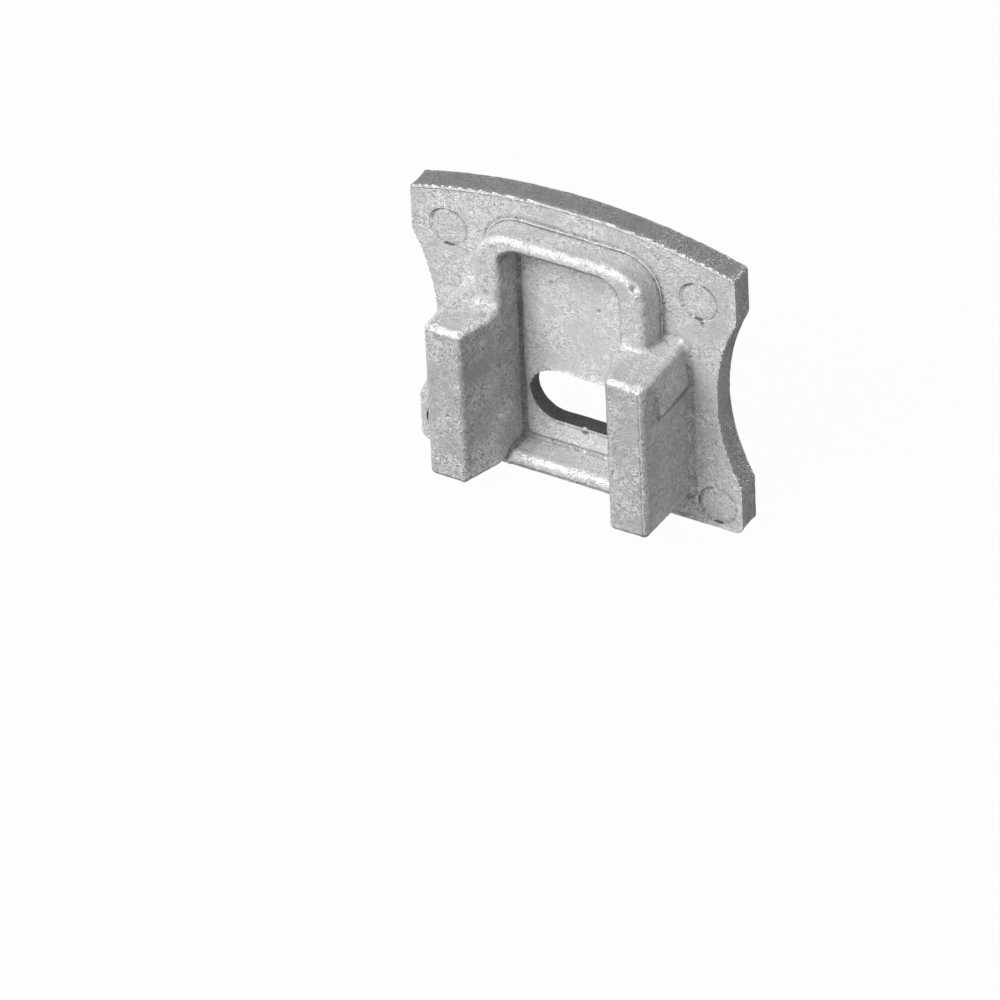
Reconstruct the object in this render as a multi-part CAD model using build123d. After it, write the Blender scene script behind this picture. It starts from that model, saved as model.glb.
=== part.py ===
from build123d import *
import math
import os

# Cast end cap that closes the cut end of a shallow aluminium channel.
# Millimetres. X runs across the cap and Z up. The inner face of the plate lies on y = 0,
# the outer face looks along +Y, and two plug legs reach along -Y into the channel.
# The origin is the middle of the bottom edge, on the inner face.

# Plate: flat bottom, waisted sides and a crowned top
plate_width = 17.0
plate_thickness = 1.35
shoulder_height = 14.5
crown_rise = 1.2
bottom_land = 2.6
top_land = 2.5
waist_depth = 1.16
bottom_corner_radius = 0.5
lower_waist_radius = 0.6
upper_waist_radius = 1.2
top_corner_radius = 0.3
outer_edge_radius = 0.13
inner_edge_radius = 0.08

# Recess between the legs
recess_width = 6.2
recess_bottom = 1.8
recess_height = 11.7
recess_top_radius = 1.1
recess_foot_radius = 0.15
floor_thickness = 1.0

# Arch that frames the recess at the sides and the top
arch_side_wall = 1.5
arch_top_wall = 0.85
arch_height = 1.55
arch_corner_radius = 2.0
arch_root_radius = 0.1

# Rail that closes the frame at the bottom
rail_wall = 0.85
rail_height = 1.3

# Plug legs
leg_width = 2.75
leg_length = 4.1
leg_bottom = 1.4
leg_height = 8.8
leg_lead_in = 0.7
leg_bend_radius = 1.0
leg_root_radius = 0.32
leg_draft = 0.1
arm_root_radius = 0.3

# Roundings and draft that the arch, the rail and the legs share
crest_edge_radius = 0.36
wall_draft_angle = 3.7

# Snap ridge on the outer side of each leg, which stands further out towards its front end
ridge_root_rise = 0.17
ridge_front_rise = 0.28
ridge_bottom = 8.0
ridge_height = 1.75
ridge_length = 2.8
ridge_sink = 0.02
ridge_edge_radius = 0.06

# Cable slot through the floor
slot_length = 5.5
slot_height = 2.84
slot_centre_height = 4.5
slot_edge_radius = 0.2

# Marks that the ejector pins left on the inner face, as distances from the middle and the bottom
pin_mark_diameter = 2.0
pin_mark_depth = 0.05
upper_mark_across = 6.55
upper_mark_up = 12.7
lower_mark_across = 7.2
lower_mark_up = 1.3

# How far the raised pieces reach into the plate, and how far a cutter passes a face
root_depth = 0.2
cut_margin = 0.5
# How far from a plane an edge may lie and still be taken as lying on it
near = 0.01

half_plate = plate_width / 2
half_recess = recess_width / 2
half_arch = half_recess + arch_side_wall
recess_top = recess_bottom + recess_height
recess_depth = plate_thickness - floor_thickness
arch_top = recess_top + arch_top_wall
rail_bottom = recess_bottom - rail_wall
leg_top = leg_bottom + leg_height
leg_middle = leg_bottom + leg_height / 2
leg_outer = half_recess + leg_width
leg_slope = leg_draft / leg_length
draft_slope = math.tan(math.radians(wall_draft_angle))

# A crest keeps a narrow flat between its two roundings
arch_edge_radius = min(crest_edge_radius, 0.48 * (arch_top_wall - draft_slope * arch_height))
rail_edge_radius = min(crest_edge_radius, 0.48 * (rail_wall - draft_slope * rail_height))
# The lead-in of a leg starts where the blend at the foot of the arm ends
lead_in_start = arch_height + arm_root_radius + leg_bend_radius / 5

inner_face = Plane.XZ
root_plane = Plane(origin=(0, root_depth, 0), x_dir=(1, 0, 0), z_dir=(0, -1, 0))


def corners_at(outline, height):
    """Return the corners of a flat outline that lie at one height."""
    return outline.vertices().filter_by_position(Axis.Y, height - near, height + near)


def edges_at(body, depth):
    """Return the edges of a body that lie on one plane across Y."""
    return body.edges().filter_by_position(Axis.Y, depth - near, depth + near)


def rectangle(half_width, bottom, top):
    """Return a rectangle that is centred on X and stands between two heights."""
    return Pos(0, (bottom + top) / 2) * Rectangle(2 * half_width, top - bottom)


def plate_outline():
    """Return the waisted outline with its crowned top."""
    waist_top = shoulder_height - top_land
    waist_middle = (half_plate - waist_depth, (bottom_land + waist_top) / 2)
    side = Line((half_plate, 0), (half_plate, bottom_land))
    side += ThreePointArc((half_plate, bottom_land), waist_middle, (half_plate, waist_top))
    side += Line((half_plate, waist_top), (half_plate, shoulder_height))
    crown_middle = (0, shoulder_height + crown_rise)
    crown = ThreePointArc((half_plate, shoulder_height), crown_middle, (-half_plate, shoulder_height))
    bottom = Line((-half_plate, 0), (half_plate, 0))
    outline = make_face(side + crown + bottom + mirror(side, about=Plane.YZ))
    outline = fillet(corners_at(outline, shoulder_height), top_corner_radius)
    outline = fillet(corners_at(outline, waist_top), upper_waist_radius)
    outline = fillet(corners_at(outline, bottom_land), lower_waist_radius)
    return fillet(corners_at(outline, 0), bottom_corner_radius)


def plate():
    """Return the plate with its edges broken all round."""
    body = extrude(inner_face * plate_outline(), amount=-plate_thickness)
    body = fillet(edges_at(body, plate_thickness), outer_edge_radius)
    return fillet(edges_at(body, 0), inner_edge_radius)


def recess():
    """Return the space of the recess, round at the top, from above the crest to its floor."""
    outline = rectangle(half_recess, recess_bottom, recess_top)
    outline = fillet(corners_at(outline, recess_top), recess_top_radius)
    outline = fillet(corners_at(outline, recess_bottom), recess_foot_radius)
    above = extrude(inner_face * outline, amount=arch_height + cut_margin)
    below = extrude(inner_face * outline, amount=-recess_depth)
    return above + below


def arch_block():
    """Return the arch as a drafted block, still closed, with its outer crest edge rounded."""
    spread = draft_slope * root_depth
    outline = rectangle(half_arch + spread, leg_middle, arch_top + spread)
    outline = fillet(corners_at(outline, arch_top + spread), arch_corner_radius + spread)
    block = extrude(root_plane * outline, amount=root_depth + arch_height, taper=wall_draft_angle)
    crest = edges_at(block, -arch_height).filter_by(lambda edge: edge.center().Z > leg_middle + root_depth)
    return fillet(crest, arch_edge_radius)


def leg_block():
    """Return the right leg with sharp edges: drafted all round, with a lead-in on the inner side."""
    plan = Polyline(
        (half_recess, root_depth),
        (half_recess, -lead_in_start),
        (half_recess + leg_lead_in, -leg_length),
        (leg_outer - leg_draft, -leg_length),
        (leg_outer + leg_slope * root_depth, root_depth),
        close=True,
    )
    plan_face = fillet(corners_at(make_face(plan), -lead_in_start), leg_bend_radius)
    side = Polyline(
        (root_depth, leg_bottom - leg_slope * root_depth),
        (-leg_length, leg_bottom + leg_draft),
        (-leg_length, leg_top - leg_draft),
        (root_depth, leg_top + leg_slope * root_depth),
        close=True,
    )
    from_above = extrude(plan_face, amount=leg_top + cut_margin)
    from_the_side = extrude(Plane.YZ * make_face(side), amount=leg_outer + cut_margin)
    return from_above & from_the_side


def is_arm_foot(edge):
    """Tell whether an edge lies where an arm of the arch meets the top of its leg."""
    middle = edge.center()
    on_leg_top = abs(middle.Z - leg_top) < leg_draft + near
    beside_arm = half_recess + near < abs(middle.X) < half_arch + near
    return on_leg_top and beside_arm and -arch_height - near < middle.Y < root_depth - near


def is_free_edge(edge):
    """Tell whether an edge of the blended plug is a sharp one that the casting has rounded."""
    middle = edge.center()
    across = abs(middle.X)
    blend_end = -arch_height - arm_root_radius
    on_inner_side = across < half_recess + near
    if middle.Y > root_depth - near:
        return False
    if middle.Y < -leg_length + near:
        return True
    if middle.Z > leg_top + leg_draft:
        on_crest = abs(middle.Y + arch_height) < near and middle.Z < recess_top + near
        return on_inner_side and on_crest
    if blend_end < middle.Y < -arch_height - near and on_inner_side:
        return True
    on_rim = min(abs(middle.Z - leg_top), abs(middle.Z - leg_bottom)) < leg_draft
    on_outer_side = across > leg_outer - leg_draft - near
    return on_rim and (on_inner_side or on_outer_side or middle.Y < blend_end - near)


def plug():
    """Return both legs and the arch as one piece, blended where the arms stand on the legs."""
    right = leg_block()
    body = arch_block() + right + mirror(right, about=Plane.YZ) - recess()
    body = fillet(body.edges().filter_by(is_arm_foot), arm_root_radius)
    return fillet(body.edges().filter_by(is_free_edge), arch_edge_radius)


def root_blend(piece, radius):
    """Return the foot of a piece with the concave blend between it and the inner face."""
    box = piece.bounding_box()
    margin = 4 * radius
    width = box.size.X + margin
    height = box.size.Z + margin
    middle = box.center()
    slab = Pos(middle.X, root_depth / 2, middle.Z) * Box(width, root_depth, height)
    body = slab + piece
    inside_x = width / 2 - near
    inside_z = height / 2 - near
    foot = edges_at(body, 0)
    foot = foot.filter_by(lambda edge: abs(edge.center().X - middle.X) < inside_x)
    foot = foot.filter_by(lambda edge: abs(edge.center().Z - middle.Z) < inside_z)
    body = fillet(foot, radius)
    layer = Pos(middle.X, root_depth - radius, middle.Z) * Box(width, 2 * (radius + root_depth), height)
    return body & layer


def leg_foot():
    """Return the blended foot of the right leg."""
    body = leg_block()
    body = fillet(body.edges().filter_by(is_free_edge), arch_edge_radius)
    return root_blend(body, leg_root_radius)


def ridge_section(depth, rise):
    """Return the section of the ridge at one depth: flush at the top and proud at its lower edge."""
    plane = Plane(origin=(0, -depth, 0), x_dir=(1, 0, 0), z_dir=(0, -1, 0))
    top = ridge_bottom + ridge_height
    inside = half_recess + leg_width / 2
    side = leg_outer - leg_slope * depth
    outline = Polyline(
        (inside, ridge_bottom),
        (side + rise, ridge_bottom),
        (side - ridge_sink, top),
        (inside, top),
        close=True,
    )
    return plane * make_face(outline)


def ridge():
    """Return the snap ridge of the right leg, from the inner face to its front end."""
    body = loft([ridge_section(0, ridge_root_rise), ridge_section(ridge_length, ridge_front_rise)])
    front = edges_at(body, -ridge_length).filter_by(lambda edge: edge.center().X > leg_outer - leg_draft)
    return fillet(front, ridge_edge_radius)


def rail():
    """Return the rail under the recess, whose ends run in under the legs."""
    outline = rectangle(half_arch, rail_bottom, recess_bottom + rail_wall)
    body = extrude(inner_face * outline, amount=rail_height, taper=wall_draft_angle)
    body -= recess()
    crest = edges_at(body, -rail_height).filter_by(Axis.X)
    crest = crest.filter_by(lambda edge: edge.center().Z < recess_bottom + near)
    return fillet(crest, rail_edge_radius)


def slot():
    """Return the space of the cable slot."""
    outline = Pos(0, slot_centre_height) * SlotOverall(slot_length, slot_height)
    return extrude(inner_face * outline, amount=-plate_thickness - cut_margin)


def is_slot_rim(edge):
    """Tell whether an edge of the outer face lies on the rim of the slot."""
    middle = edge.center()
    return abs(middle.X) < slot_length / 2 + near and abs(middle.Z - slot_centre_height) < slot_height / 2 + near


def pin_marks():
    """Return the shallow discs of the four ejector pins."""
    marks = Sketch()
    for side in (-1, 1):
        marks += Pos(side * upper_mark_across, upper_mark_up) * Circle(pin_mark_diameter / 2)
        marks += Pos(side * lower_mark_across, lower_mark_up) * Circle(pin_mark_diameter / 2)
    return extrude(inner_face * marks, amount=-pin_mark_depth)


def end_cap():
    """Return the whole casting as one solid."""
    right_side = leg_foot() + ridge()
    body = plate() + plug()
    body += root_blend(arch_block(), arch_root_radius)
    body += right_side
    body += mirror(right_side, about=Plane.YZ)
    body += rail()
    body -= recess()
    body -= slot()
    body = fillet(edges_at(body, plate_thickness).filter_by(is_slot_rim), slot_edge_radius)
    return body - pin_marks()


os.makedirs("parts", exist_ok=True)
cap = end_cap()
export_step(cap, "parts/end_cap.step")
print("solids", len(cap.solids()), "volume in cubic millimetres", round(cap.volume, 2))
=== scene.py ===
import logging
import math
from collections.abc import Sequence
from dataclasses import dataclass
from enum import Enum

import bmesh
import bpy
import numpy as np
from bpy.types import Material, Mesh, Node, NodeSocket, NodeTree, Object
from mathutils import Matrix, Vector
from mathutils.bvhtree import BVHTree


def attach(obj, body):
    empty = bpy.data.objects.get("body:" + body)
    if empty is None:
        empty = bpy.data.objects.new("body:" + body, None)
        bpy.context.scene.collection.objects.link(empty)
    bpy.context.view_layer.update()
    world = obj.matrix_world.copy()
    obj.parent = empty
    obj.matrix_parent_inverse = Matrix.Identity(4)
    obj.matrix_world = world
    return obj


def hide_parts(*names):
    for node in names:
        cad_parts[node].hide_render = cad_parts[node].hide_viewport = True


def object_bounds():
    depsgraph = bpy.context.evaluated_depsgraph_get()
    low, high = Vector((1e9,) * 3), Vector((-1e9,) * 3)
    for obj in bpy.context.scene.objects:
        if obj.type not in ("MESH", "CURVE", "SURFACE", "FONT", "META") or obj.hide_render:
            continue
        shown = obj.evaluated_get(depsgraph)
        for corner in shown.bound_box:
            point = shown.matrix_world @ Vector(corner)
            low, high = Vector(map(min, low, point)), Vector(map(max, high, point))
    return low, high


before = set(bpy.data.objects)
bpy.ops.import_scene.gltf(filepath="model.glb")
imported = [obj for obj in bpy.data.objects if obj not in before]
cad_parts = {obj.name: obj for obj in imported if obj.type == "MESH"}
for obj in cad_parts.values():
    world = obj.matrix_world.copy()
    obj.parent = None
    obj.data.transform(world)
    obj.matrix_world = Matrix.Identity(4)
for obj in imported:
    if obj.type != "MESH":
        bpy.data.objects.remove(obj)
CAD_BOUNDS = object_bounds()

LOG = logging.getLogger("end_cap_scene")
MM = 0.001
FRAME_PIXELS = 1000
SENSOR_WIDTH_MM = 36.0
SEED = 7
WHITE = (1.0, 1.0, 1.0, 1.0)
FAR_AWAY_M = 1.0
NOISE_MIDDLE = 0.5
NOISE_SWING = 3.0
MATHS = "ShaderNodeMath"
VECTOR_MATHS = "ShaderNodeVectorMath"
MAP_RANGE = "ShaderNodeMapRange"
NOISE = "ShaderNodeTexNoise"

Signal = Node | NodeSocket | float
Span = tuple[float, float]
Triple = tuple[float, float, float]
Inputs = dict[str, float | int]


def srgb(hex_code: str, alpha: float = 1.0) -> tuple[float, float, float, float]:
    """Turn an sRGB hex colour into linear values.

    Args:
        hex_code: Six hex digits, with or without a leading #.
        alpha: The opacity to append.

    Returns:
        Red, green, blue and alpha, the first three linear.
    """
    digits = hex_code.lstrip("#")
    channels = [int(digits[i : i + 2], 16) / 255.0 for i in (0, 2, 4)]
    linear = [c / 12.92 if c <= 0.04045 else ((c + 0.055) / 1.055) ** 2.4 for c in channels]
    return (linear[0], linear[1], linear[2], alpha)


def per_mm(size_mm: float) -> float:
    """Return the scale of a pattern on coordinates in metres, for its real size in millimetres."""
    return 1.0 / (size_mm * MM)


def metres(*sizes_mm: float) -> list[float]:
    """Turn sizes in millimetres into metres."""
    return [size * MM for size in sizes_mm]


def add_node(
    tree: NodeTree,
    kind: str,
    inputs: dict[str | int, object] | Sequence[object] = (),
    **settings: object,
) -> Node:
    """Add a node, set its properties and fill or link its inputs.

    Args:
        tree: The node tree that takes the node.
        kind: Blender's type name of the node.
        inputs: What the inputs get, in order, or by name or index: a plain value, a socket to
            link from, or a node whose first live output is meant.
        **settings: Properties of the node itself.

    Returns:
        The new node.
    """
    node = tree.nodes.new(kind)
    for name, value in settings.items():
        setattr(node, name, value)
    given = inputs if isinstance(inputs, dict) else dict(enumerate(inputs))
    for key, value in given.items():
        live = [socket for socket in node.inputs if socket.enabled and socket.name == key]
        socket = live[0] if live else node.inputs[key]
        if isinstance(value, Node):
            value = next(output for output in value.outputs if output.enabled)
        if isinstance(value, NodeSocket):
            tree.links.new(value, socket)
        else:
            socket.default_value = value
    return node


def off_line(tree: NodeTree, value: Signal, line: float) -> Node:
    """Return how far a value is from the one that counts as a line."""
    apart = add_node(tree, MATHS, (value, line), operation="SUBTRACT")
    return add_node(tree, MATHS, (apart,), operation="ABSOLUTE")


def where_all(tree: NodeTree, *spans: Sequence[Signal]) -> Node:
    """Find where several values are all past their spans.

    Args:
        tree: The node tree that takes the nodes.
        *spans: For each value: the value, where its span starts and ends and, unless they are
            0 and 1, what it counts at either end.

    Returns:
        The node that holds the product of what the values count.
    """
    product = add_node(tree, MAP_RANGE, spans[0])
    for span in spans[1:]:
        share = add_node(tree, MAP_RANGE, span)
        product = add_node(tree, MATHS, (product, share), operation="MULTIPLY")
    return product


def add_up(tree: NodeTree, start: Signal, parts: Sequence[tuple[Signal, float]]) -> Signal:
    """Add shares of several values to a starting value.

    Args:
        tree: The node tree that takes the nodes.
        start: The starting value.
        parts: Each value with its share.

    Returns:
        The last node of the sum.
    """
    total = start
    for part, share in parts:
        total = add_node(tree, MATHS, (part, share, total), operation="MULTIPLY_ADD")
    return total


def rows(items: Sequence[object], name: str) -> np.ndarray:
    """Read a vector of every vertex or face of a mesh.

    Args:
        items: The vertices or faces.
        name: Blender's name of the vector.

    Returns:
        The vectors, one in each row.
    """
    flat = np.empty(len(items) * 3)
    items.foreach_get(name, flat)
    return flat.reshape(-1, 3)


def add_object(name: str, data: bpy.types.ID) -> Object:
    """Put an object into the scene.

    Args:
        name: The name of the object.
        data: Its mesh, lamp or camera.

    Returns:
        The object.
    """
    added = bpy.data.objects.new(name, data)
    bpy.context.collection.objects.link(added)
    return added


def empty_material(name: str) -> Material:
    """Start a material.

    Args:
        name: The name of the real surface.

    Returns:
        The material, with no nodes yet.
    """
    material = bpy.data.materials.new(name)
    material.use_nodes = True
    material.node_tree.nodes.clear()
    return material


class Region(Enum):
    """The surfaces of the casting that differ in finish; the value is the material index."""

    SKIN = 0
    OUTER_FACE = 1
    RIM = 2
    SLOT_WALL = 3
    RECESS_FLOOR = 4


@dataclass(frozen=True)
class PinRing:
    """The round witness line that an ejector pin leaves on the inner face, in millimetres."""

    across: float
    up: float
    radius: float = 1.0


PIN_RINGS = (PinRing(-6.55, 12.7), PinRing(6.55, 12.7), PinRing(-7.2, 1.3), PinRing(7.2, 1.3))


@dataclass(frozen=True)
class SurfacePoint:
    """What tells a finish where on the casting it is, in metres, and which way it looks there."""

    tree: NodeTree
    place: Signal
    across: Signal
    depth: Signal
    up: Signal
    flat: Signal
    normal: Signal
    facing_right: Signal
    facing_up: Signal

    @classmethod
    def read(cls, tree: NodeTree) -> "SurfacePoint":
        """Add the nodes that read the place and the normal.

        Args:
            tree: The node tree that takes the nodes.

        Returns:
            The tree with the sockets and nodes of both.
        """
        place = add_node(tree, "ShaderNodeTexCoord").outputs["Object"]
        parts = add_node(tree, "ShaderNodeSeparateXYZ", (place,)).outputs
        flat = add_node(tree, "ShaderNodeCombineXYZ", {"X": parts["X"], "Z": parts["Z"]})
        normal = add_node(tree, "ShaderNodeNewGeometry").outputs["Normal"]
        facing = add_node(tree, "ShaderNodeSeparateXYZ", (normal,)).outputs
        axes = (parts["X"], parts["Y"], parts["Z"])
        return cls(tree, place, *axes, flat, normal, facing["X"], facing["Z"])


@dataclass(frozen=True)
class CastZinc:
    """Zinc alloy as it leaves a pressure-casting die.

    The melt freezes against the steel in patches, so the eye sees a satin grey skin with a sandy
    grain, curled flow lines that are dense in some patches and faint in others, bright specks and
    small dark pits. Painted shade darkens the hollows, the undersides and the walls that face the
    middle of the recess, and a painted highlight lightens the edges that look up. The grain of a
    real skin is a few hundredths of a millimetre wide, too fine to show here, so it is drawn two or
    three times as coarse.
    """

    name: str = "die_cast_zinc_skin"
    dark_tone: str = "bababa"
    pale_tone: str = "e8e8e8"
    middle_tone: float = 0.5
    tone_limits: Span = (-0.8, 1.4)
    # Sizes of the patterns.
    grain_mm: float = 0.09
    curl_mm: float = 0.27
    line_mm: float = 0.62
    patch_mm: float = 1.7
    pit_mm: float = 0.62
    speck_mm: float = 0.34
    wobble_mm: float = 0.9
    noise_roughness: float = 0.6
    curl_width: float = 0.12
    line_width: float = 0.035
    between_lines: float = -0.3
    dot_core: float = 0.4
    dot_chance: float = 0.02
    # How much each pattern or place adds to the tone.
    grain_share: float = 0.5
    curl_share: float = 0.6
    patch_share: float = 0.35
    speck_share: float = 0.8
    # Painted highlight: the edge share lightens edges that look up.
    edge_highlight_share: float = 0.4
    corner_line_share: float = 0.7
    # How much each takes from the tone.
    line_share: float = 0.55
    pit_share: float = 0.9
    # Painted shade: the crease share darkens the hollows at the roots of the frame and the legs.
    crease_shade_share: float = 0.75
    # Painted shade: the underside share darkens faces that look down.
    underside_shade_share: float = 1.05
    tip_share: float = 0.4
    # Painted shade: the wall share darkens the walls that face the middle of the recess.
    wall_shade_share: float = 0.55
    # How high each pattern stands, as a share of the bump.
    bump_mm: float = 0.014
    grain_height: float = 0.9
    curl_height: float = 1.0
    line_height: float = -0.7
    pit_height: float = -1.2
    speck_height: float = 0.5
    ring_height: float = -0.3
    # Gloss: low and high ends, and what the edges that look up add or take.
    roughness_low: float = 0.36
    roughness_high: float = 0.56
    metal_low: float = 0.12
    metal_high: float = 0.36
    edge_metal: float = 0.16
    edge_polish: float = 0.07
    metal_span: Span = (-0.3, 0.3)
    polish_span: Span = (-0.6, 0.9)
    # Where flow lines are strong, edges are broken, and forms count as hollow or as an edge.
    patch_span: Span = (-0.35, 0.35)
    flow_strength: Span = (0.35, 1.5)
    break_span: Span = (0.35, 0.6)
    break_strength: Span = (0.35, 1.25)
    crease_shade_span: Span = (0.45, 1.4)
    edge_span: Span = (-0.15, -0.9)
    # How far a face looks up where an edge gets its painted highlight, a tip stays pale and an underside
    # gets painted shade.
    lit_span: Span = (0.1, 0.6)
    lit_strength: Span = (0.15, 1.0)
    tip_up_span: Span = (0.2, 0.6)
    underside_shade_span: Span = (-0.12, -0.28)
    # Places along Y: the roots of the frame and the legs, and the tips of the legs.
    root_span_mm: Span = (-2.6, -2.2)
    tip_span_mm: Span = (-2.2, -4.0)
    # The ejector pins' lines: thinnest and widest, and how near the inner face they show.
    ring_line_mm: Span = (0.0245, 0.0385)
    ring_wobble_span: Span = (0.3, 0.6)
    ring_face_mm: Span = (0.16, 0.1)
    ring_tone: float = 0.58
    rings: tuple[PinRing, ...] = PIN_RINGS
    # A pale and a dark line down the right leg's outer front corner: how far right the face looks there,
    # and half a width.
    pale_corner_line: Span = (0.52, 0.12)
    dark_corner_line: Span = (0.3, 0.1)
    corner_line_depth_mm: Span = (-3.5, -3.7)
    corner_line_across_mm: Span = (5.2, 5.3)
    # Painted shade on the walls that face the middle of the recess.
    wall_shade_middle_up_mm: float = 7.6
    wall_shade_facing_span: Span = (0.3, 0.75)
    above_rail_mm: Span = (2.0, 2.5)
    facing_left_span: Span = (-0.2, -0.5)
    facing_left_shade: float = 2.2
    frame_depth_mm: Span = (-2.4, -1.2)
    leg_shade: float = 0.75

    def noises(self, point: SurfacePoint) -> list[Node]:
        """Add the noises that the patterns start from.

        Args:
            point: Where on the casting the surface is.

        Returns:
            The noises of the grain, patches, curls, lines, broken edges and uneven rings.
        """
        shared = {"Vector": point.place, "Roughness": self.noise_roughness}
        noises = []
        for size_mm, detail, warp in (
            (self.grain_mm, 2.0, 0.0),
            (self.patch_mm, 3.0, 0.6),
            (self.curl_mm, 1.5, 1.4),
            (self.line_mm, 2.0, 2.2),
            (self.curl_mm, 3.0, 0.0),
            (self.wobble_mm, 1.0, 0.0),
        ):
            own = {"Scale": per_mm(size_mm), "Detail": detail, "Distortion": warp}
            noises.append(add_node(point.tree, NOISE, shared | own))
        return noises

    def fold(self, tree: NodeTree, noise: Signal, width: float) -> Node:
        """Fold a noise at its middle value into lines: 1 along them, just below 0 between them."""
        off = off_line(tree, noise, NOISE_MIDDLE)
        return add_node(tree, MAP_RANGE, (off, 0.0, width, 1.0, self.between_lines))

    def dots(self, point: SurfacePoint, cell_mm: float, reach: float, rarity: float) -> Node:
        """Scatter small dots over some of the cells of a grid.

        Args:
            point: Where on the casting the surface is.
            cell_mm: The size of a cell.
            reach: The radius of a dot, as a share of the cell.
            rarity: The share of the cells that stay bare.

        Returns:
            The node that holds 1 in the dots and 0 elsewhere.
        """
        tree = point.tree
        inputs = {"Vector": point.place, "Scale": per_mm(cell_mm)}
        cells = add_node(tree, "ShaderNodeTexVoronoi", inputs)
        chance = add_node(tree, "ShaderNodeSeparateColor", (cells.outputs["Color"],)).outputs["Red"]
        return where_all(
            tree,
            (cells.outputs["Distance"], self.dot_core * reach, reach, 1.0, 0.0),
            (chance, rarity, rarity + self.dot_chance),
        )

    def ring_line(self, point: SurfacePoint, wobble: Signal) -> Node:
        """Draw the witness lines of the ejector pins.

        Args:
            point: Where on the casting the surface is.
            wobble: The noise that makes the lines uneven.

        Returns:
            The node that holds 1 on the lines and 0 elsewhere.
        """
        tree = point.tree
        nearest: Signal = FAR_AWAY_M
        for ring in self.rings:
            middle = (ring.across * MM, 0.0, ring.up * MM)
            reach = add_node(tree, VECTOR_MATHS, (point.flat, middle), operation="DISTANCE")
            off = off_line(tree, reach, ring.radius * MM)
            nearest = add_node(tree, MATHS, (nearest, off), operation="MINIMUM")
        width = add_node(tree, MAP_RANGE, (wobble, *self.ring_wobble_span, *metres(*self.ring_line_mm)))
        faded = add_node(tree, MATHS, (nearest, width), operation="DIVIDE")
        line = add_node(tree, MATHS, (1.0, faded), operation="SUBTRACT", use_clamp=True)
        off_face = add_node(tree, MATHS, (point.depth,), operation="ABSOLUTE")
        on_face = add_node(tree, MAP_RANGE, (off_face, *metres(*self.ring_face_mm)))
        return add_node(tree, MATHS, (line, on_face), operation="MULTIPLY")

    def corner_lines(self, point: SurfacePoint) -> Node:
        """Draw a pale and a dark line down the outer front corner of the right leg, where the face looks
        right at two set angles.

        Args:
            point: Where on the casting the surface is, and which way it looks.

        Returns:
            The node that holds -1 on the dark line, 1 on the pale line beside it and else 0.
        """
        tree = point.tree
        lines = []
        for facing, width in (self.pale_corner_line, self.dark_corner_line):
            off = off_line(tree, point.facing_right, facing)
            lines.append(add_node(tree, MAP_RANGE, (off, width, 0.0)))
        line_pair = add_node(tree, MATHS, lines, operation="SUBTRACT")
        corner = where_all(
            tree,
            (point.depth, *metres(*self.corner_line_depth_mm)),
            (point.across, *metres(*self.corner_line_across_mm)),
        )
        return add_node(tree, MATHS, (line_pair, corner), operation="MULTIPLY")

    def painted_wall_shade(self, point: SurfacePoint) -> Node:
        """Find the walls that face the middle of the recess.

        These walls get painted shade in the tone, stronger on those that look left and weaker towards the
        front.

        Args:
            point: Where on the casting the surface is, and which way it looks.

        Returns:
            The node that holds how strong the painted shade is.
        """
        tree = point.tree
        middle = (0.0, 0.0, self.wall_shade_middle_up_mm * MM)
        inward = add_node(tree, VECTOR_MATHS, (middle, point.flat), operation="SUBTRACT")
        inward = add_node(tree, VECTOR_MATHS, (inward,), operation="NORMALIZE")
        facing = add_node(tree, VECTOR_MATHS, (inward, point.normal), operation="DOT_PRODUCT")
        return where_all(
            tree,
            (facing, *self.wall_shade_facing_span),
            (point.up, *metres(*self.above_rail_mm)),
            (point.facing_right, *self.facing_left_span, 1.0, self.facing_left_shade),
            (point.depth, *metres(*self.frame_depth_mm), self.leg_shade, 1.0),
        )

    def build(self) -> Material:
        """Build the node material.

        Returns:
            The material, painted from object coordinates.
        """
        material = empty_material(self.name)
        tree = material.node_tree
        point = SurfacePoint.read(tree)
        grain, patch, curl, line, breaks, wobble = self.noises(point)
        swing = (NOISE_SWING, -NOISE_SWING * NOISE_MIDDLE)
        grain = add_node(tree, MATHS, (grain, *swing), operation="MULTIPLY_ADD")
        patch = add_node(tree, MATHS, (patch, *swing), operation="MULTIPLY_ADD")
        strength = add_node(tree, MAP_RANGE, (patch, *self.patch_span, *self.flow_strength))
        curl = self.fold(tree, curl, self.curl_width)
        line = self.fold(tree, line, self.line_width)
        curl = add_node(tree, MATHS, (curl, strength), operation="MULTIPLY")
        line = add_node(tree, MATHS, (line, strength), operation="MULTIPLY")
        pit = self.dots(point, self.pit_mm, reach=0.1, rarity=0.72)
        speck = self.dots(point, self.speck_mm, reach=0.16, rarity=0.86)
        ring = self.ring_line(point, wobble)
        hollow = add_node(tree, "ShaderNodeAttribute", attribute_name="hollow").outputs["Fac"]
        # Painted highlight: edges that look up are lightened in the tone, broken by a noise; the same
        # mask raises metal and polish.
        edge = where_all(
            tree,
            (hollow, *self.edge_span),
            (breaks, *self.break_span, *self.break_strength),
            (point.facing_up, *self.lit_span, *self.lit_strength),
        )
        at_root = (point.depth, *metres(*self.root_span_mm))
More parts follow.
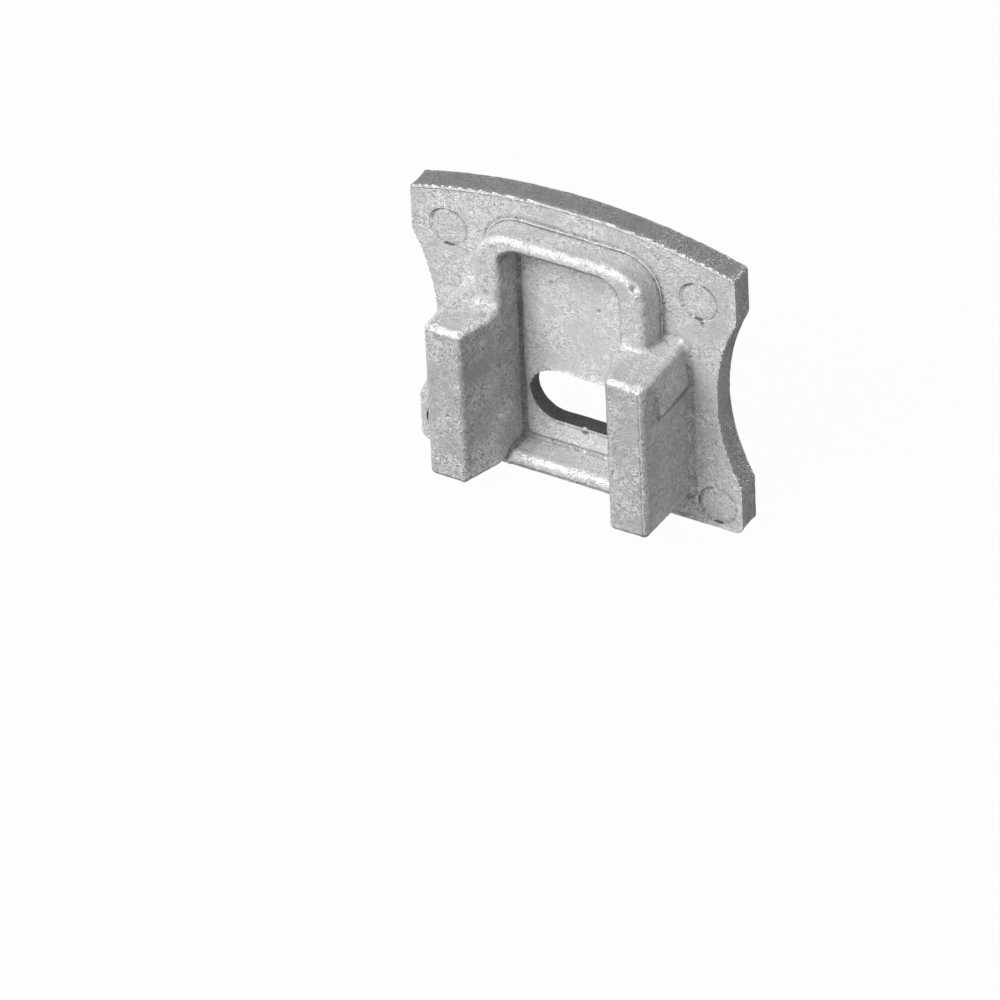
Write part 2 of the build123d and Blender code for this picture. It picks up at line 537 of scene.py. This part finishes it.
        # Painted shade in the hollows at the roots of the frame and the legs.
        crease_shade = where_all(tree, (hollow, *self.crease_shade_span), at_root)
        tip = where_all(
            tree,
            (point.depth, *metres(*self.tip_span_mm)),
            (point.facing_up, *self.tip_up_span, 1.0, 0.0),
        )
        tone = add_up(
            tree,
            self.middle_tone,
            (
                (grain, self.grain_share),
                (curl, self.curl_share),
                (line, -self.line_share),
                (patch, self.patch_share),
                (speck, self.speck_share),
                (edge, self.edge_highlight_share),
                (crease_shade, -self.crease_shade_share),
                # Painted shade on faces that look down.
                (where_all(tree, (point.facing_up, *self.underside_shade_span)), -self.underside_shade_share),
                (self.corner_lines(point), self.corner_line_share),
                (tip, -self.tip_share),
                # Painted shade on the walls that face the middle of the recess.
                (self.painted_wall_shade(point), -self.wall_shade_share),
                (pit, -self.pit_share),
            ),
        )
        height = add_up(
            tree,
            0.0,
            (
                (grain, self.grain_height),
                (curl, self.curl_height),
                (line, self.line_height),
                (pit, self.pit_height),
                (speck, self.speck_height),
                (ring, self.ring_height),
            ),
        )
        tone = add_node(tree, "ShaderNodeClamp", (tone, *self.tone_limits))
        colour = add_node(
            tree,
            "ShaderNodeMix",
            {"Factor": tone, "A": srgb(self.dark_tone), "B": srgb(self.pale_tone)},
            data_type="RGBA",
            clamp_factor=False,
        )
        shade = add_node(tree, MAP_RANGE, (ring, 0.0, 1.0, 1.0, self.ring_tone))
        toned = add_node(tree, VECTOR_MATHS, {0: colour, "Scale": shade}, operation="SCALE")
        metal = add_node(tree, MAP_RANGE, (grain, *self.metal_span, self.metal_low, self.metal_high))
        rough = (curl, *self.polish_span, self.roughness_high, self.roughness_low)
        rough = add_node(tree, MAP_RANGE, rough)
        bump = add_node(tree, "ShaderNodeBump", {"Distance": self.bump_mm * MM, "Height": height})
        shader = add_node(
            tree,
            "ShaderNodeBsdfPrincipled",
            {
                "Base Color": toned,
                "Metallic": add_up(tree, metal, ((edge, self.edge_metal),)),
                "Roughness": add_up(tree, rough, ((edge, -self.edge_polish),)),
                "Normal": bump,
            },
        )
        add_node(tree, "ShaderNodeOutputMaterial", {"Surface": shader})
        return material


@dataclass(frozen=True)
class TrimmedSlotWallPaintedShade:
    """The wall of the cable slot, where a trimming punch has sheared the flash off.

    Coloured a dull, nearly black band as painted shade for the deep wall, with fine drag lines.
    """

    name: str = "sheared_slot_wall_painted_shade"
    dark_tone: str = "2a2a2a"
    pale_tone: str = "484848"
    drag_mm: float = 0.06
    drag_detail: float = 3.0
    drag_stretch: Triple = (1.0, 0.15, 1.0)
    pale_span: Span = (0.35, 0.7)
    bump_mm: float = 0.004
    roughness: float = 0.75

    def build(self) -> Material:
        """Build the node material.

        Returns:
            The material, painted from object coordinates.
        """
        material = empty_material(self.name)
        tree = material.node_tree
        place = add_node(tree, "ShaderNodeTexCoord").outputs["Object"]
        along = add_node(tree, VECTOR_MATHS, (place, self.drag_stretch), operation="MULTIPLY")
        drag = add_node(
            tree,
            NOISE,
            {"Vector": along, "Scale": per_mm(self.drag_mm), "Detail": self.drag_detail},
        )
        pale = add_node(tree, MAP_RANGE, (drag, *self.pale_span))
        colour = add_node(
            tree,
            "ShaderNodeMix",
            {"Factor": pale, "A": srgb(self.dark_tone), "B": srgb(self.pale_tone)},
            data_type="RGBA",
            clamp_factor=False,
        )
        bump = add_node(tree, "ShaderNodeBump", {"Distance": self.bump_mm * MM, "Height": drag})
        shader = add_node(
            tree,
            "ShaderNodeBsdfPrincipled",
            {"Base Color": colour, "Roughness": self.roughness, "Normal": bump},
        )
        add_node(tree, "ShaderNodeOutputMaterial", {"Surface": shader})
        return material


@dataclass(frozen=True)
class PhotoCamera:
    """The camera that took the reference view, as measured from the outline of the cap."""

    azimuth_deg: float = 30.8472
    elevation_deg: float = 37.0236
    roll_deg: float = -2.6022
    distance_mm: float = 765.5064
    pixels_per_mm: float = 21.7512
    aim_mm: Triple = (0.0, 0.0, 7.0)
    aim_pixel_u: float = 576.9267
    aim_pixel_v: float = 364.5385
    near_clip_m: float = 0.01
    far_clip_m: float = 20.0

    def build(self) -> Object:
        """Place the camera and make it the scene's own.

        Returns:
            The camera object.
        """
        degrees = (self.azimuth_deg, self.elevation_deg, self.roll_deg)
        azimuth, elevation, roll = map(math.radians, degrees)
        level_right = Vector((math.cos(azimuth), math.sin(azimuth), 0.0))
        forward = Vector(
            (
                -math.sin(azimuth) * math.cos(elevation),
                math.cos(azimuth) * math.cos(elevation),
                -math.sin(elevation),
            )
        )
        level_up = level_right.cross(forward)
        right = level_right * math.cos(roll) + level_up * math.sin(roll)
        up = level_up * math.cos(roll) - level_right * math.sin(roll)
        middle = FRAME_PIXELS / 2
        shift_right = (self.aim_pixel_u - middle) / self.pixels_per_mm
        shift_up = (middle - self.aim_pixel_v) / self.pixels_per_mm
        place = Vector(self.aim_mm) - right * shift_right - up * shift_up - forward * self.distance_mm
        data = bpy.data.cameras.new("photo_camera")
        data.sensor_width = SENSOR_WIDTH_MM
        data.lens = self.pixels_per_mm * self.distance_mm * SENSOR_WIDTH_MM / FRAME_PIXELS
        data.clip_start = self.near_clip_m
        data.clip_end = self.far_clip_m
        camera = add_object("photo_camera", data)
        turn = Matrix((right, up, -forward)).transposed().to_4x4()
        camera.matrix_world = Matrix.Translation(place * MM) @ turn
        bpy.context.scene.camera = camera
        return camera


@dataclass(frozen=True)
class SoftLamp:
    """A square soft box that looks at the cap."""

    name: str
    direction: Triple
    distance_m: float
    width_m: float
    watts: float

    def build(self, target: Vector) -> Object:
        """Place the lamp.

        Args:
            target: The point that the lamp looks at, in metres.

        Returns:
            The lamp object.
        """
        data = bpy.data.lights.new(self.name, "AREA")
        data.shape = "SQUARE"
        data.size = self.width_m
        data.energy = self.watts
        lamp = add_object(self.name, data)
        towards = Vector(self.direction).normalized()
        lamp.location = target + towards * self.distance_m
        lamp.rotation_euler = (-towards).to_track_quat("-Z", "Y").to_euler()
        return lamp


@dataclass
class Studio:
    """A white table under a soft box in front and to the left, with faint fill lamps."""

    floor_half_m: float = 1.2
    floor_tone: str = "909090"
    white_share: float = 0.98
    world_level: float = 0.02
    lamps: tuple[SoftLamp, ...] = (
        SoftLamp("front_left_soft_box", (-0.25, -0.687, 0.682), 0.5, 0.26, 2.6),
        SoftLamp("right_fill", (0.9, -0.3, 0.3), 0.5, 0.2, 0.1),
        SoftLamp("back_fill", (0.25, 0.96, 0.1), 0.5, 0.2, 1.7),
    )

    def table_material(self) -> Material:
        """Build matt white paper, seen as plain white but for part of the cap's shadow.

        Returns:
            The material.
        """
        material = empty_material("white_table_paper")
        tree = material.node_tree
        paper = add_node(tree, "ShaderNodeBsdfDiffuse", {"Color": srgb(self.floor_tone)})
        glow = add_node(tree, "ShaderNodeEmission", {"Color": WHITE, "Strength": 1.0})
        share = self.white_share_of_seen_rays(tree, self.white_share)
        mixed = add_node(tree, "ShaderNodeMixShader", (share, paper, glow))
        add_node(tree, "ShaderNodeOutputMaterial", {"Surface": mixed})
        return material

    @staticmethod
    def white_share_of_seen_rays(tree: NodeTree, share: float) -> Node:
        """Hold a share for camera, glossy and transmission rays, and 0 for all others.

        Args:
            tree: The node tree that takes the nodes.
            share: The value for the rays that see the background.

        Returns:
            The node that holds the share.
        """
        path = add_node(tree, "ShaderNodeLightPath").outputs
        seen = add_node(tree, MATHS, (path["Is Camera Ray"], path["Is Glossy Ray"]), operation="MAXIMUM")
        seen = add_node(tree, MATHS, (seen, path["Is Transmission Ray"]), operation="MAXIMUM")
        return add_node(tree, MATHS, (seen, share), operation="MULTIPLY")

    def build(self, target: Vector) -> None:
        """Lay the table, light the world and place the lamps.

        Args:
            target: The middle of the cap, in metres.
        """
        half = self.floor_half_m
        corners = [(-half, -half, 0), (half, -half, 0), (half, half, 0), (-half, half, 0)]
        mesh = bpy.data.meshes.new("table")
        mesh.from_pydata(corners, [], [(0, 1, 2, 3)])
        mesh.materials.append(self.table_material())
        table = add_object("table", mesh)
        world = bpy.data.worlds.new("studio_air")
        world.use_nodes = True
        tree = world.node_tree
        tree.nodes.clear()
        seen = self.white_share_of_seen_rays(tree, 1.0 - self.world_level)
        level = add_node(tree, MATHS, (seen, self.world_level), operation="ADD")
        air = add_node(tree, "ShaderNodeBackground", {"Color": WHITE, "Strength": level})
        add_node(tree, "ShaderNodeOutputWorld", {"Surface": air})
        bpy.context.scene.world = world
        for lamp in self.lamps:
            lamp.build(target)


def open_tree(name: str, inputs: Inputs) -> NodeTree:
    """Start a Geometry Nodes tree that takes and gives a geometry.

    Args:
        name: The name of the tree.
        inputs: Its other inputs by name; whole numbers become integer sockets.

    Returns:
        The tree, with no nodes yet.
    """
    tree = bpy.data.node_groups.new(name, "GeometryNodeTree")
    face = tree.interface
    face.new_socket("Geometry", in_out="INPUT", socket_type="NodeSocketGeometry")
    for key, value in inputs.items():
        kind = "NodeSocketInt" if isinstance(value, int) else "NodeSocketFloat"
        face.new_socket(key, in_out="INPUT", socket_type=kind)
    face.new_socket("Geometry", in_out="OUTPUT", socket_type="NodeSocketGeometry")
    return tree


def close_tree(tree: NodeTree, geometry: Signal, material: Material) -> NodeTree:
    """End a Geometry Nodes tree with real faces of one material.

    Args:
        tree: The tree.
        geometry: The node that holds the finished shape.
        material: The material that the faces get.

    Returns:
        The tree.
    """
    real = add_node(tree, "GeometryNodeRealizeInstances", (geometry,))
    painted = add_node(tree, "GeometryNodeSetMaterial", {"Geometry": real, "Material": material})
    add_node(tree, "NodeGroupOutput", (painted,))
    return tree


def run_tree(mesh: Mesh, tree: NodeTree, inputs: Inputs) -> Mesh:
    """Run a Geometry Nodes tree on a mesh and return the result as a plain mesh.

    Args:
        mesh: The mesh that goes in; it is deleted.
        tree: The tree.
        inputs: The values of the tree's inputs, by name.

    Returns:
        The new mesh.
    """
    helper = add_object("tree_helper", mesh)
    modifier = helper.modifiers.new(tree.name, "NODES")
    modifier.node_group = tree
    for item in tree.interface.items_tree:
        if item.in_out == "INPUT" and item.name in inputs:
            modifier[item.identifier] = inputs[item.name]
    evaluated = helper.evaluated_get(bpy.context.evaluated_depsgraph_get())
    result = bpy.data.meshes.new_from_object(evaluated)
    helper.modifiers.remove(modifier)
    bpy.data.objects.remove(helper)
    bpy.data.meshes.remove(mesh)
    return result


@dataclass(frozen=True)
class CastRelief:
    """Geometry Nodes that press the shallow relief of a casting into a smooth net of faces.

    The relief only sinks, so the casting doesn't grow past the solid's faces. The tree also makes
    the edges a few hundredths of a millimetre crisper, and stores how hollow or how edged the form
    is at each point, which the finishes read.
    """

    ripple_depth_mm: float = 0.022
    ripple_mm: float = 0.42
    swell_depth_mm: float = 0.02
    swell_mm: float = 1.3
    noise_detail: float = 2.0
    noise_distortion: float = 0.5
    sunk_span: Span = (0.3, 0.7)
    blur_steps: int = 3
    hollow_span_mm: float = 0.012
    edge_sharpness: float = 1.2

    def inputs(self) -> Inputs:
        """Return the tree's inputs by name, with sizes in metres."""
        return {
            "Ripple Depth": self.ripple_depth_mm * MM,
            "Ripple Scale": per_mm(self.ripple_mm),
            "Swell Depth": self.swell_depth_mm * MM,
            "Swell Scale": per_mm(self.swell_mm),
            "Hollow Span": self.hollow_span_mm * MM,
            "Edge Sharpness": self.edge_sharpness,
            "Seed": float(SEED),
            "Blur Steps": self.blur_steps,
        }

    def tree(self, material: Material) -> NodeTree:
        """Build the node tree.

        Args:
            material: The material that the tree gives to the faces.

        Returns:
            The tree, with its sizes as named inputs.
        """
        tree = open_tree("cast_relief", self.inputs())
        given = add_node(tree, "NodeGroupInput").outputs
        position = add_node(tree, "GeometryNodeInputPosition")
        normal = add_node(tree, "GeometryNodeInputNormal")
        smooth = add_node(
            tree,
            "GeometryNodeBlurAttribute",
            {"Value": position, "Iterations": given["Blur Steps"]},
            data_type="FLOAT_VECTOR",
        )
        lean = add_node(tree, VECTOR_MATHS, (smooth, position), operation="SUBTRACT")
        rise = add_node(tree, VECTOR_MATHS, (lean, normal), operation="DOT_PRODUCT")
        hollow = add_node(tree, MATHS, (rise, given["Hollow Span"]), operation="DIVIDE")
        stored = add_node(
            tree,
            "GeometryNodeStoreNamedAttribute",
            {"Geometry": given["Geometry"], "Name": "hollow", "Value": hollow},
            data_type="FLOAT",
            domain="POINT",
        )
        sunk = add_node(tree, MATHS, (rise, given["Edge Sharpness"]), operation="MULTIPLY")
        for part in ("Ripple", "Swell"):
            noise = add_node(
                tree,
                NOISE,
                {
                    "Vector": position,
                    "W": given["Seed"],
                    "Scale": given[f"{part} Scale"],
                    "Detail": self.noise_detail,
                    "Distortion": self.noise_distortion,
                },
                noise_dimensions="4D",
            )
            share = add_node(tree, MAP_RANGE, (noise, *self.sunk_span))
            sunk = add_node(tree, MATHS, (share, given[f"{part} Depth"], sunk), operation="MULTIPLY_ADD")
        inward = add_node(tree, MATHS, (sunk, -1.0), operation="MULTIPLY")
        offset = add_node(tree, VECTOR_MATHS, {0: normal, "Scale": inward}, operation="SCALE")
        moved = add_node(tree, "GeometryNodeSetPosition", {"Geometry": stored, "Offset": offset})
        return close_tree(tree, moved, material)

    def press(self, net: Mesh, material: Material) -> Mesh:
        """Run the tree on a net; return the mesh with its relief and its "hollow" attribute."""
        return run_tree(net, self.tree(material), self.inputs())


@dataclass(frozen=True)
class PathBead:
    """A thin uneven bead of metal that Geometry Nodes draw along a path on the casting."""

    name: str
    radius_mm: float
    unevenness: float
    lump_mm: float
    lump_detail: float = 2.0
    lump_span: Span = (0.3, 0.7)
    step_mm: float = 0.07
    sides: int = 8

    def inputs(self) -> Inputs:
        """Return the tree's inputs by name, with sizes in metres."""
        return {
            "Radius": self.radius_mm * MM,
            "Unevenness": self.unevenness,
            "Lump Scale": per_mm(self.lump_mm),
            "Step": self.step_mm * MM,
            "Seed": float(SEED),
            "Sides": self.sides,
        }

    def tree(self, material: Material) -> NodeTree:
        """Build the node tree that turns a chain of edges into the bead.

        Args:
            material: The material of the bead.

        Returns:
            The tree, with its sizes as named inputs.
        """
        tree = open_tree("path_bead", self.inputs())
        given = add_node(tree, "NodeGroupInput").outputs
        path = add_node(tree, "GeometryNodeMeshToCurve", {"Mesh": given["Geometry"]})
        even = add_node(
            tree,
            "GeometryNodeResampleCurve",
            {"Curve": path, "Length": given["Step"]},
            mode="LENGTH",
        )
        lumps = add_node(
            tree,
            NOISE,
            {
                "Vector": add_node(tree, "GeometryNodeInputPosition"),
                "W": given["Seed"],
                "Scale": given["Lump Scale"],
                "Detail": self.lump_detail,
            },
            noise_dimensions="4D",
        )
        swing = add_node(tree, MAP_RANGE, (lumps, *self.lump_span, -1.0, 1.0))
        thickness = add_node(tree, MATHS, (swing, given["Unevenness"], 1.0), operation="MULTIPLY_ADD")
        thick = add_node(tree, "GeometryNodeSetCurveRadius", {"Curve": even, "Radius": thickness})
        ring = add_node(
            tree,
            "GeometryNodeCurvePrimitiveCircle",
            {"Resolution": given["Sides"], "Radius": given["Radius"]},
        )
        skin = add_node(
            tree,
            "GeometryNodeCurveToMesh",
            {"Curve": thick, "Profile Curve": ring, "Fill Caps": True},
        )
        return close_tree(tree, skin, material)

    def build(self, points_mm: Sequence[Vector], material: Material, slot: str) -> Object:
        """Draw the bead along a path.

        Args:
            points_mm: The points of the path, in millimetres.
            material: The material of the bead.
            slot: Not used.

        Returns:
            The finished object.
        """
        edges = [(i, i + 1) for i in range(len(points_mm) - 1)]
        chain = bpy.data.meshes.new(f"{self.name}_path")
        chain.from_pydata([tuple(point * MM) for point in points_mm], edges, [])
        mesh = run_tree(chain, self.tree(material), self.inputs())
        mesh.shade_smooth()
        piece = add_object(self.name, mesh)
        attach(piece, "root")
        LOG.info("%s: %d faces", self.name, len(mesh.polygons))
        return piece


@dataclass(frozen=True)
class Mark:
    """A dent or a lump of this one casting, in millimetres; a dent has a negative rise."""

    what: str
    place: Triple
    reach: Triple
    rise: float


MARK_FALL = 1.5
LOCAL_MARKS = (
    Mark("nick in the arch's right corner", (4.1, -1.45, 13.62), (0.32, 0.3, 0.4), -0.14),
    Mark("lip beside the nick", (4.36, -1.33, 13.55), (0.18, 0.28, 0.42), 0.09),
    Mark("lump where the rail meets the left leg", (-3.1, -1.1, 1.3), (0.3, 0.35, 0.3), 0.1),
    Mark("drop on the slot's lower rim", (0.03, 0.35, 2.98), (0.17, 0.2, 0.17), 0.12),
    Mark("pit in the recess floor", (-1.41, 0.35, 10.91), (0.13, 0.1, 0.13), -0.06),
    Mark("second pit in the recess floor", (1.08, 0.35, 10.13), (0.13, 0.1, 0.13), -0.05),
    Mark("pit in the left leg's inner side", (-3.1, -1.71, 7.02), (0.2, 0.14, 0.14), -0.05),
    Mark("pit in the right leg's outer side", (5.8, -1.46, 2.66), (0.2, 0.14, 0.14), -0.05),
    Mark("curved nick in the left leg's end", (-4.55, -4.1, 5.15), (0.3, 0.2, 0.12), -0.05),
    Mark("dull hollow on the left leg's top", (-3.55, -2.08, 10.15), (0.3, 0.35, 0.25), -0.06),
    Mark("round mark at the left arm's foot", (-3.82, -1.55, 10.8), (0.3, 0.2, 0.3), -0.04),
    Mark("nick in the face beside the right leg", (6.71, 0.0, 11.42), (0.16, 0.15, 0.25), -0.06),
    Mark("notch in the left leg's front corner", (-3.84, -3.95, 10.07), (0.16, 0.25, 0.2), -0.07),
    Mark("notch in the right leg's front corner", (5.45, -3.95, 10.07), (0.16, 0.25, 0.2), -0.07),
)


@dataclass(frozen=True)
class RidgeFlank:
    """The steep flank that joins the lower edge of each snap ridge to its leg, in millimetres."""

    side: float = 5.85
    slope: float = 0.0244
    root_rise: float = 0.17
    front_rise: float = 0.28
    length: float = 2.8
    edge_up: float = 8.0
    foot_up: float = 7.45
    ease_up: float = 6.5
    soft_end: float = 0.12
    root_gap: float = 0.05
    inner_margin: float = 0.05
    outer_margin: float = 0.02
    level_margin: float = 0.03

    def shape(self, points: np.ndarray) -> None:
        """Lean the underside of both ridges down to the foot of the flank.

        Args:
            points: The vertices of the casting, in millimetres, changed in place.
        """
        across, depth, up = np.abs(points[:, 0]), -points[:, 1], points[:, 2]
        side = self.side - self.slope * depth
        rise = self.root_rise + (self.front_rise - self.root_rise) * depth / self.length
        out = np.clip((across - side) / rise, 0.0, 1.0)
        leaned = self.foot_up + out * (self.edge_up - self.foot_up)
        squeeze = (self.foot_up - self.ease_up) / (self.edge_up - self.ease_up)
        eased = self.ease_up + (up - self.ease_up) * squeeze
        near_side = (across > side - self.inner_margin) & (across < side + rise + self.outer_margin)
        underside = near_side & (np.abs(up - self.edge_up) < self.level_margin)
        below = near_side & (up > self.ease_up) & (up < self.edge_up - self.level_margin)
        share = np.clip((self.length - depth) / self.soft_end, 0.0, 1.0)
        share *= np.clip((depth - self.root_gap) / self.soft_end, 0.0, 1.0)
        target = np.where(underside, leaned, np.where(below, eased, up))
        points[:, 2] = up + share * (target - up)


@dataclass(frozen=True)
class RegionLimits:
    """Where the finishes meet, in millimetres and in how squarely a face looks along Y."""

    face_margin: float = 0.2
    floor_margin: float = 0.1
    slot_margin: float = 0.2
    rim_start: float = 0.04
    rim_across: float = 5.0
    rim_above: float = 14.0
    rim_below: float = 0.6
    square: float = 0.7
    slot_square: float = 0.8


@dataclass
class Casting:
    """The cap itself, one casting, refined from the solid of the frame."""

    node: str = "end_cap"
    slot: str = "cast_zinc"
    skin: CastZinc = CastZinc()
    # Blasted with fine beads after casting, so the eye sees an even, soft grey with few lines.
    outer_face: CastZinc = CastZinc(
        name="blasted_zinc_outer_face",
        dark_tone="bebebe",
        pale_tone="d2d2d2",
        grain_mm=0.1,
        patch_share=0.15,
        line_share=0.05,
        curl_share=0.15,
        roughness_low=0.5,
        roughness_high=0.62,
        metal_low=0.04,
        metal_high=0.14,
        bump_mm=0.003,
    )
    # Drawn along the wall of the die, so the eye sees a duller and darker band.
    rim: CastZinc = CastZinc(
        name="drawn_zinc_rim",
        dark_tone="686868",
        pale_tone="969696",
        patch_share=0.15,
        line_share=0.1,
        curl_share=0.3,
    )
    slot_wall: TrimmedSlotWallPaintedShade = TrimmedSlotWallPaintedShade()
    # Coloured paler than the skin as painted light, which lifts the shade in the recess, so the eye sees
    # a paler floor with clear curls.
    recess_floor: CastZinc = CastZinc(
        name="recess_floor_painted_light",
        dark_tone="cacaca",
        pale_tone="f8f8f8",
        curl_share=0.75,
        grain_share=0.45,
        line_share=0.3,
    )
    relief: CastRelief = CastRelief()
    cell_mm: float = 0.1
    weld_mm: float = 0.0005
    crease_deg: float = 50.0
    plate_mm: float = 1.35
    slot_half_length_mm: float = 2.75
    slot_half_height_mm: float = 1.42
    slot_up_mm: float = 4.5
    floor_level_mm: float = 0.35
    flank: RidgeFlank = RidgeFlank()
    limits: RegionLimits = RegionLimits()
    flash: PathBead = PathBead("crown_flash_bead", 0.055, 0.8, 0.22)
    root_line: PathBead = PathBead("arch_root_bead", 0.05, 0.3, 0.6)
    burr: PathBead = PathBead("slot_burr_bead", 0.055, 0.5, 0.25)
    path_points: int = 121
    arc_points: int = 25
    crown_radius_mm: float = 30.7042
    crown_top_mm: float = 15.7
    crown_reach_mm: float = 8.25
    flash_drop_mm: float = 0.1
    arch_half_mm: float = 4.6
    arch_top_mm: float = 14.35
    arch_corner_mm: float = 2.0
    leg_top_mm: float = 10.2
    root_line_gap_mm: float = 0.1
    root_line_out_mm: float = 0.015
    burr_reach_mm: float = 0.03
    burr_out_mm: float = 0.005

    def refined_mesh(self) -> Mesh:
        """Lay an even net of small faces over the node's form.

        The solid's long triangles are replaced by cells of one size, and every corner of a cell is
        set back on the solid's own surface, so that the casting keeps the size of the frame.

        Returns:
            The mesh of the net, in metres.
        """
        shape = bmesh.new()
        shape.from_mesh(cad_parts[self.node].data)
        bmesh.ops.remove_doubles(shape, verts=shape.verts, dist=self.weld_mm * MM)
        bmesh.ops.scale(shape, vec=Vector((1, 1, 1)) / MM, verts=shape.verts)
        surface = BVHTree.FromBMesh(shape)
        rough = bpy.data.meshes.new("end_cap_rough")
        shape.to_mesh(rough)
        shape.free()
        helper = add_object("end_cap_rough", rough)
        remesh = helper.modifiers.new("even_cells", "REMESH")
        remesh.mode = "VOXEL"
        remesh.voxel_size = self.cell_mm
        evaluated = helper.evaluated_get(bpy.context.evaluated_depsgraph_get())
        net = bpy.data.meshes.new_from_object(evaluated)
        bpy.data.objects.remove(helper)
        bpy.data.meshes.remove(rough)
        for vertex in net.vertices:
            vertex.co = surface.find_nearest(vertex.co)[0] * MM
        net.name = "end_cap_casting"
        return net

    def press_marks(self, net: Mesh) -> None:
        """Shape the ridges' flanks and press the local marks into the net.

        Args:
            net: The smooth net, in metres.
        """
        points = rows(net.vertices, "co") / MM
        normals = rows(net.vertices, "normal")
        self.flank.shape(points)
        for mark in LOCAL_MARKS:
            off = (points - np.array(mark.place)) / np.array(mark.reach)
            fall = np.clip(1.0 - (off**2).sum(axis=1), 0.0, 1.0) ** MARK_FALL
            points += normals * (mark.rise * fall)[:, None]
        net.vertices.foreach_set("co", (points * MM).ravel())
        net.update()

    @staticmethod
    def keep_in_box(mesh: Mesh) -> None:
        """Hold every vertex inside the box of the solid.

        Args:
            mesh: The finished mesh, in metres.
        """
        low, high = np.array(plain_box(CAD_BOUNDS))
        mesh.vertices.foreach_set("co", np.clip(rows(mesh.vertices, "co"), low, high).ravel())
        mesh.update()

    def crown_path(self) -> list[Vector]:
        """Follow the crown just under its inner edge.

        Returns:
            The path of the flash, in millimetres.
        """
        centre_up = self.crown_top_mm - self.crown_radius_mm
        path = []
        for across in np.linspace(-self.crown_reach_mm, self.crown_reach_mm, self.path_points):
            up = centre_up + math.sqrt(self.crown_radius_mm**2 - across**2)
            path.append(Vector((across, 0.0, up - self.flash_drop_mm)))
        return path

    def arch_path(self) -> list[Vector]:
        """Follow the root of the arch from leg to leg.

        Returns:
            The path of the thin line, in millimetres.
        """
        corner_up = self.arch_top_mm - self.arch_corner_mm
        corner_across = self.arch_half_mm - self.arch_corner_mm
        depth = -self.root_line_out_mm
        right = [Vector((self.arch_half_mm, depth, self.leg_top_mm + self.root_line_gap_mm))]
        for turn in np.radians(np.linspace(0, 90, self.arc_points)):
            across = corner_across + self.arch_corner_mm * math.cos(turn)
            right.append(Vector((across, depth, corner_up + self.arch_corner_mm * math.sin(turn))))
        left = [Vector((-point.x, point.y, point.z)) for point in reversed(right)]
        return right + left

    def burr_path(self) -> list[Vector]:
        """Follow the lower half of the slot's inner rim.

        Returns:
            The path of the burr, in millimetres.
        """
        straight = self.slot_half_length_mm - self.slot_half_height_mm
        reach = self.slot_half_height_mm + self.burr_reach_mm
        depth = self.floor_level_mm - self.burr_out_mm
        path = []
        for side, start, end in ((-1, 0, 90), (1, 90, 0)):
            for turn in np.radians(np.linspace(start, end, self.arc_points)):
                across = side * (straight + reach * math.cos(turn))
                path.append(Vector((across, depth, self.slot_up_mm - reach * math.sin(turn))))
        return path

    def paint_regions(self, mesh: Mesh) -> None:
        """Give the outer face, the floor, the rim and the slot's wall their own finishes.

        Args:
            mesh: The finished mesh, in metres.
        """
        limits = self.limits
        across, depth, up = rows(mesh.polygons, "center").T / MM
        out = rows(mesh.polygons, "normal")[:, 1]
        region = np.full(len(out), Region.SKIN.value)
        outer = (depth > self.plate_mm - limits.face_margin) & (out > limits.square)
        region[outer] = Region.OUTER_FACE.value
        floor = (depth > self.floor_level_mm - limits.floor_margin) & (out < -limits.square)
        region[floor] = Region.RECESS_FLOOR.value
        straight = np.abs(across) - (self.slot_half_length_mm - self.slot_half_height_mm)
        reach = np.hypot(np.maximum(straight, 0.0), up - self.slot_up_mm)
        in_slot = (reach < self.slot_half_height_mm + limits.slot_margin) & (depth > self.floor_level_mm)
        region[in_slot & (np.abs(out) < limits.slot_square)] = Region.SLOT_WALL.value
        outside = (np.abs(across) > limits.rim_across) | (up > limits.rim_above) | (up < limits.rim_below)
        in_plate = (depth > limits.rim_start) & (np.abs(out) < limits.square)
        region[in_plate & outside] = Region.RIM.value
        mesh.polygons.foreach_set("material_index", region.astype(np.int32))

    def build(self) -> Object:
        """Build the casting in place of its node.

        Returns:
            The finished object.
        """
        finishes = {
            Region.SKIN: self.skin.build(),
            Region.OUTER_FACE: self.outer_face.build(),
            Region.RIM: self.rim.build(),
            Region.SLOT_WALL: self.slot_wall.build(),
            Region.RECESS_FLOOR: self.recess_floor.build(),
        }
        net = self.refined_mesh()
        self.press_marks(net)
        mesh = self.relief.press(net, finishes[Region.SKIN])
        self.keep_in_box(mesh)
        mesh.materials.clear()
        for region in Region:
            mesh.materials.append(finishes[region])
        self.paint_regions(mesh)
        mesh.shade_smooth()
        mesh.set_sharp_from_angle(angle=math.radians(self.crease_deg))
        piece = add_object("end_cap_casting", mesh)
        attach(piece, "root")
        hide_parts(self.node)
        LOG.info("casting: %d faces", len(mesh.polygons))
        for bead, path in (
            (self.flash, self.crown_path()),
            (self.root_line, self.arch_path()),
            (self.burr, self.burr_path()),
        ):
            bead.build(path, finishes[Region.SKIN], self.slot)
        return piece


def plain_box(bounds: Sequence[Sequence[float]]) -> list[list[float]]:
    """Return two corners as plain lists of numbers."""
    return [[float(value) for value in corner] for corner in bounds]


def main() -> None:
    """Build the camera, the studio and the casting in order."""
    logging.basicConfig(level=logging.INFO, format="%(name)s: %(message)s")
    camera = PhotoCamera().build()
    LOG.info("camera: lens %.1f mm", camera.data.lens)
    middle = (Vector(CAD_BOUNDS[0]) + Vector(CAD_BOUNDS[1])) / 2
    Studio().build(middle)
    LOG.info("studio: laid")
    Casting().build()
    bpy.context.scene.view_settings.view_transform = "Standard"


if __name__ == "__main__":
    main()
